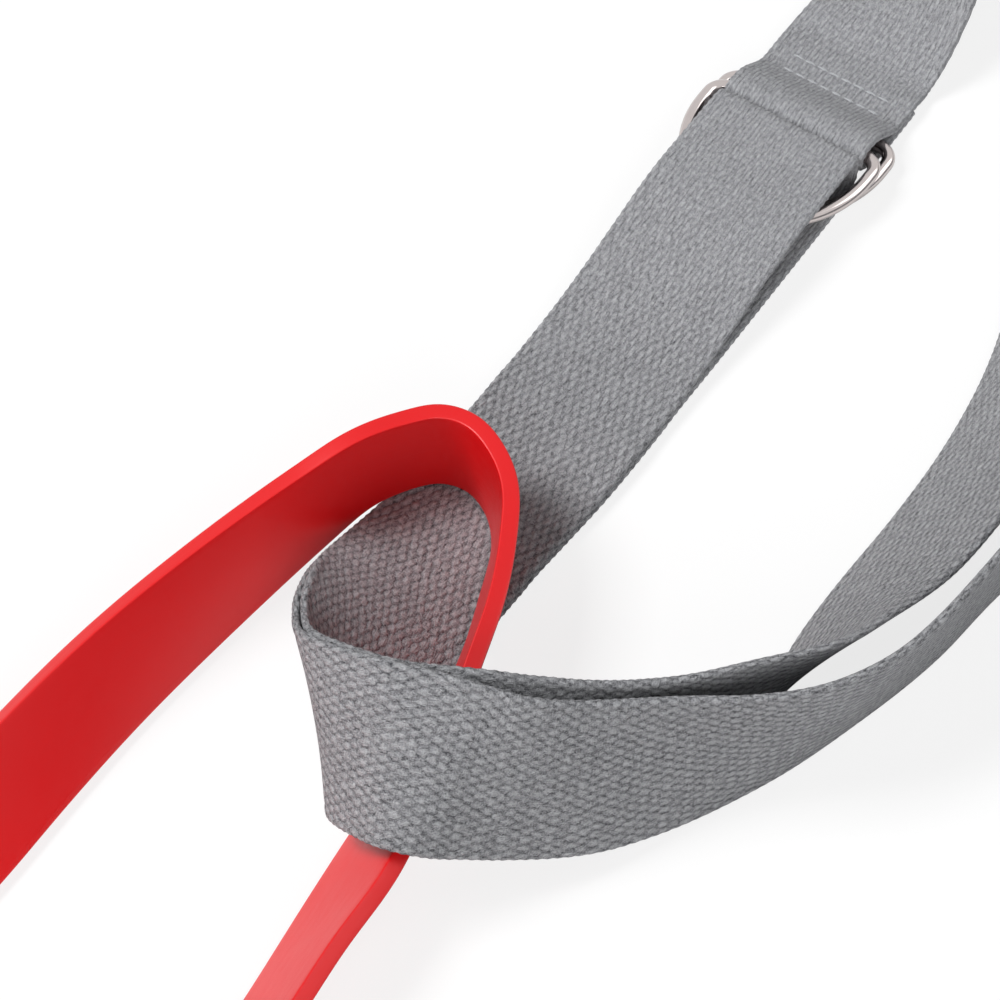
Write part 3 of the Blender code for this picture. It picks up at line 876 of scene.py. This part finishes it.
def d_ring(name, along, height, tilt, node):
    """One ring with its bar at a distance and height in the buckle, its crown tipped up by tilt."""
    outline = d_outline()
    bpy.ops.object.select_all(action="DESELECT")
    bpy.ops.mesh.primitive_torus_add(
        major_segments=len(outline), minor_segments=WIRE_SIDES, major_radius=1, minor_radius=0.1)
    made = bpy.context.object
    made.name = made.data.name = name
    tip = Matrix.Rotation(math.radians(tilt), 4, "Y")
    local = BUCKLE @ Matrix.Translation((along, 0, height)) @ tip
    places = [local @ Vector((x, y, 0)) for x, y in outline]
    up = (local.to_3x3() @ UP).normalized()
    for vertex in made.data.vertices:
        i, j = divmod(vertex.index, WIRE_SIDES)
        ahead = (places[(i + 1) % len(places)] - places[i - 1]).normalized()
        aside = ahead.cross(up)
        angle = 2 * math.pi * j / WIRE_SIDES
        vertex.co = (places[i] + (aside * math.cos(angle) + up * math.sin(angle)) * WIRE_RADIUS) * MM
    shape = bmesh.new()
    shape.from_mesh(made.data)
    bmesh.ops.recalc_face_normals(shape, faces=shape.faces)
    shape.to_mesh(made.data)
    shape.free()
    made.data.shade_smooth()
    made.data.materials.append(polished_nickel)
    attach(made, node)
    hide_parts(node)
    bpy.ops.object.select_all(action="DESELECT")


d_ring("wire_upper", 0, UPPER_BAR, 1.0, "ring_upper")
d_ring("wire_lower", BAR_SPACING, LOWER_BAR, 0.0, "ring_lower")
print("ring outline has", len(d_outline()), "points")

# %% [markdown]
# ## The latex loop
# Such loops are dipped or rolled up from thin sheets of latex and cut to width, so the edges are square.
# A slight round stays on each corner, and the cut edge keeps faint lines from its layers.
# It stands on its edge through the strap's bight and goes once round, with no seam.
# The same strip builder makes it, closed on itself and with a rectangle for its section.

# %% Latex finish
def latex(name):
    made, shader, field = start_material(name)
    run = field.node("UVMap", {"uv_map": "run"})
    u, v = run.part(0), run.part(1)
    cloud = field.noise(field.vector(u * 0.04, v * 0.012), 1.0, 3.0)
    chalk = field.noise(field.vector(u * 0.5, v * 0.1), 1.0, 4.0)
    layers = field.noise(field.vector(u * 5.0, v * 0.01), 1.0, 2.0)
    shade = field.mixed(cloud, (0.59, 0.004, 0.006, 1), (0.64, 0.006, 0.008, 1))
    connect(shade, shader, "Base Color")
    connect(0.28 + chalk * 0.14, shader, "Roughness")
    relief = layers * 0.6 + chalk * 0.4
    bump = field.node("Bump", {}, {"Height": relief, "Distance": 0.00004})
    connect(bump, shader, "Normal")
    shader.inputs["Specular IOR Level"].default_value = 0.4
    return made


red_latex = latex("red_latex")
print("latex material has", len(red_latex.node_tree.nodes), "nodes")

# %% The band's route
# Once round: x, y, lift and lean
band_route = [
    (-142, -135, 0, 38),
    (-131.3, -118.8, 0, 37),
    (-108.5, -86.3, 0, 30),
    (-84.5, -57, 1, 20),
    (-61.5, -31.5, 3.5, 9),
    (-48.8, -19.5, BAND_LIFT + 0.2, 3),
    (-36.3, -12.2, BAND_LIFT, 0),
    (-27.3, -10, BAND_LIFT, 0),
    (-18.6, -13.3, BAND_LIFT, 0),
    (-12.8, -22, BAND_LIFT, 1),
    (-11, -34, BAND_LIFT, 5),
    (-14.5, -50.8, BAND_LIFT, 10.5),
    (-18.9, -68, BAND_LIFT, 13.5),
    (-25, -82.8, 4.6, 16.5),
    (-56, -135, 0, 41),
    (-67, -155.8, 0, 36),
    (-77.8, -176, 0, 36),
    (-99.5, -209.5, 0, 37),
    (-139, -246, 0, 37),
    (-200, -279, 0, 35),
    (-285, -303, 0, 29),
    (-381, -316, 0, 22),
    (-500, -312, 0, 14),
    (-610, -285, 0, 12),
    (-705, -232, 0, 12),
    (-770, -150, 0, 12),
    (-783, -60, 0, 12),
    (-753, 20, 0, 12),
    (-690, 50, 0, 12),
    (-628, 32, 0, 12),
    (-588, -20, 0, 12),
    (-535, -80, 0, 14),
    (-470, -135, 0, 18),
    (-395, -177, 0, 24),
    (-310, -200, 0, 30),
    (-236, -206, 0, 35),
    (-179, -178, 0, 38),
]
print("stations of the band:", len(band_route))

# %% Latex band
BAND_STEP = 1.5  # longest step between rows
BEND_MIDDLE = Vector((-30, -40, 20))  # of the tight bend over the webbing
BAND_PASSES = 90

band_stations = standing(band_route, BAND_WIDTH, BAND_THICKNESS, -1, closed=True)
band_rows = smooth(band_stations, BAND_STEP, closed=True)
# The legs are evened out most, and the tight bend hardly at all
strength = [
    0.05 + 0.45 * ramp((middle(row) - BEND_MIDDLE).length, 35, 70)
    for row in band_rows
]
band_rows = frames(relaxed(band_rows, strength, BAND_PASSES, closed=True), closed=True)
wide, deep = BAND_WIDTH / 2, BAND_THICKNESS / 2
band_section = mirrored([
    (wide, deep - 1.6),
    (wide, deep - 0.5),
    (wide - 0.05, deep - 0.2),
    (wide - 0.2, deep - 0.05),
    (wide - 0.5, deep),
    (wide - 2.0, deep),
    (wide - 8.0, deep),
])
band = strip("latex_loop", band_rows, band_section, closed=True)
band.data.materials.append(red_latex)
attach(band, "latex_band")
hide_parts("latex_band")
print("band", round(length_of([*band_rows, band_rows[0]])), "mm round,", len(band.data.polygons), "faces")

# %% [markdown]
# ## Floor and light
# The harness lies on a white studio floor that fades into a white background.
# More light would wash out the object, so the floor shows mostly plain white to the camera instead.
# What is left of its own shading keeps the object's shadow.
# Mirrored in the nickel, the background is white and the floor is pale too.
# A large soft lamp high on the left is the main light, and weaker ones on the right and front fill in.

# %% Floor
bpy.ops.object.select_all(action="DESELECT")
bpy.ops.mesh.primitive_plane_add(size=12)
floor = bpy.context.object
floor.name = "floor"
floor.location.z = -0.0002
floor_paint, shader, field = start_material("floor")
shader.inputs["Base Color"].default_value = (0.86, 0.86, 0.86, 1)
shader.inputs["Roughness"].default_value = 0.9
shader.inputs["Specular IOR Level"].default_value = 0.2
# How far the floor is plain white to each kind of ray; the rest of it is lit by the lamps
FLOOR_SHARES = {"Is Camera Ray": 0.8, "Is Glossy Ray": 0.25, "Is Transmission Ray": 0.8}
seen = sum(field.node("LightPath", output=ray) * share for ray, share in FLOOR_SHARES.items())
plain = field.node("Emission", values={"Color": (1, 1, 1, 1), "Strength": 1.0})
diffuse = Field(floor_paint.node_tree, shader.outputs["BSDF"])
whole = field.node("MixShader", values={0: seen, 1: diffuse, 2: plain})
connect(whole, floor_paint.node_tree.nodes["Material Output"], "Surface")
floor.data.materials.append(floor_paint)
print("floor of", round(floor.dimensions.x), "m")

# %% World
DAYLIGHT = 0.10  # what the world gives to the object's own shading

world = bpy.data.worlds.new("studio")
bpy.context.scene.world = world
world.use_nodes = True
air = Field(world.node_tree)
background = world.node_tree.nodes["Background"]
background.inputs["Color"].default_value = (1, 1, 1, 1)
white = sum(air.node("LightPath", output=ray) for ray in FLOOR_SHARES).clamped()
connect(DAYLIGHT + white * (1 - DAYLIGHT), background, "Strength")
print("world strength", DAYLIGHT, "on the object and 1 behind it")

# %% Lamps
def lamp(name, place, size, watts):
    """A square lamp that faces the origin."""
    data = bpy.data.lights.new(name, "AREA")
    data.shape = "SQUARE"
    data.size = size
    data.energy = watts
    made = bpy.data.objects.new(name, data)
    made.location = place
    made.rotation_euler = Vector(place).to_track_quat("Z", "Y").to_euler()
    bpy.context.scene.collection.objects.link(made)


lamp("key", (-1.35, 0.15, 1.95), 0.9, 58)
lamp("fill_right", (1.6, 0.3, 1.3), 1.2, 9)
lamp("fill_front", (-0.1, -2.0, 1.2), 1.4, 30)
bpy.context.scene.view_settings.view_transform = "Standard"
print("one floor, three lamps")
